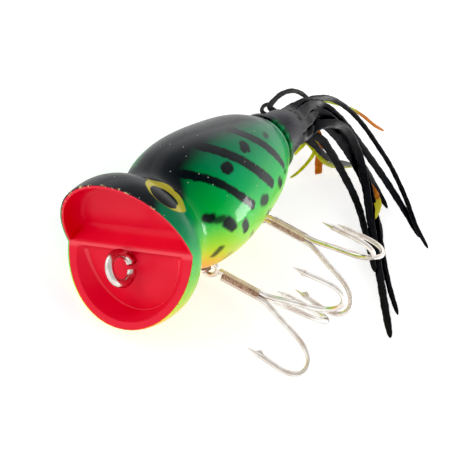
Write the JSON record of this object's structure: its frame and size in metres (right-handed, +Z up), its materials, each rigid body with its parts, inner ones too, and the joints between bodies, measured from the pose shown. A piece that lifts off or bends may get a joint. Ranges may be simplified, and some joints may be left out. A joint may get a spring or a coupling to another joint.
{
  "type": "topwater popper lure",
  "caption": "Surface fishing lure: hollow cup-mouthed body with a wire line tie, treble hooks hung on belly straps, and a rubber strand skirt on a tail stub.",
  "frame": {"origin": "centre of the line-tie ring in front of the mouth", "axes": "+X along the body axis towards the mouth; +Z up, square to the flat surface the lure lies on at rest, with its left cheek tipped up by 45 degrees"},
  "size_m": [0.095, 0.0602, 0.0271],
  "materials": {
    "painted_body": "high-gloss sprayed paint: black back, green sides, chartreuse flanks, orange throat, red mouth",
    "nickel_wire": "bright nickel plate",
    "hanger_steel": "plated stamped strap",
    "hook_wire": "bright plated wire with a slight bronze tint",
    "braze": "dull uneven solder",
    "black_rubber": "satin soft rubber",
    "chartreuse_rubber": "satin soft rubber",
    "orange_rubber": "satin soft rubber"
  },
  "bodies": {
    "lure_body": {"body_left_shell": "painted_body", "body_right_shell": "painted_body", "line_tie_eye": "nickel_wire", "front_hook_hanger": "hanger_steel", "rear_hook_hanger": "hanger_steel", "skirt_collar": "black_rubber"},
    "front_treble": {"front_double_hook": "hook_wire", "front_single_hook": "hook_wire", "front_hook_braze": "braze"},
    "rear_treble": {"rear_double_hook": "hook_wire", "rear_single_hook": "hook_wire", "rear_hook_braze": "braze"},
    "skirt": {"black_arch_strand": "black_rubber", "black_long_strand": "black_rubber", "black_right_strand": "black_rubber", "black_outer_strand": "black_rubber", "black_hook_strand": "black_rubber", "black_inner_strand": "black_rubber", "black_lower_strand": "black_rubber", "black_short_strand": "black_rubber", "chartreuse_near_strand": "chartreuse_rubber", "chartreuse_far_strand": "chartreuse_rubber", "chartreuse_under_strand": "chartreuse_rubber", "orange_near_strand": "orange_rubber", "orange_tip_strand": "orange_rubber", "orange_long_strand": "orange_rubber", "black_loop_strand": "black_rubber", "black_curl_strand": "black_rubber"}
  },
  "joints": [
    {"name": "front_hook_swing", "type": "hinge", "parent": "lure_body", "child": "front_treble", "pos_m": [-0.0238, 0.0088, -0.0088], "axis": [1, 0, 0], "range_deg": [-125, 15]},
    {"name": "rear_hook_swing", "type": "hinge", "parent": "lure_body", "child": "rear_treble", "pos_m": [-0.04415, 0.00743, -0.00743], "axis": [1, 0, 0], "range_deg": [-135, 10]},
    {"name": "skirt_sway", "type": "hinge", "parent": "lure_body", "child": "skirt", "pos_m": [-0.0607, -0.00156, 0.00156], "axis": [0, 0, 1], "range_deg": [-4, 18]}
  ]
}
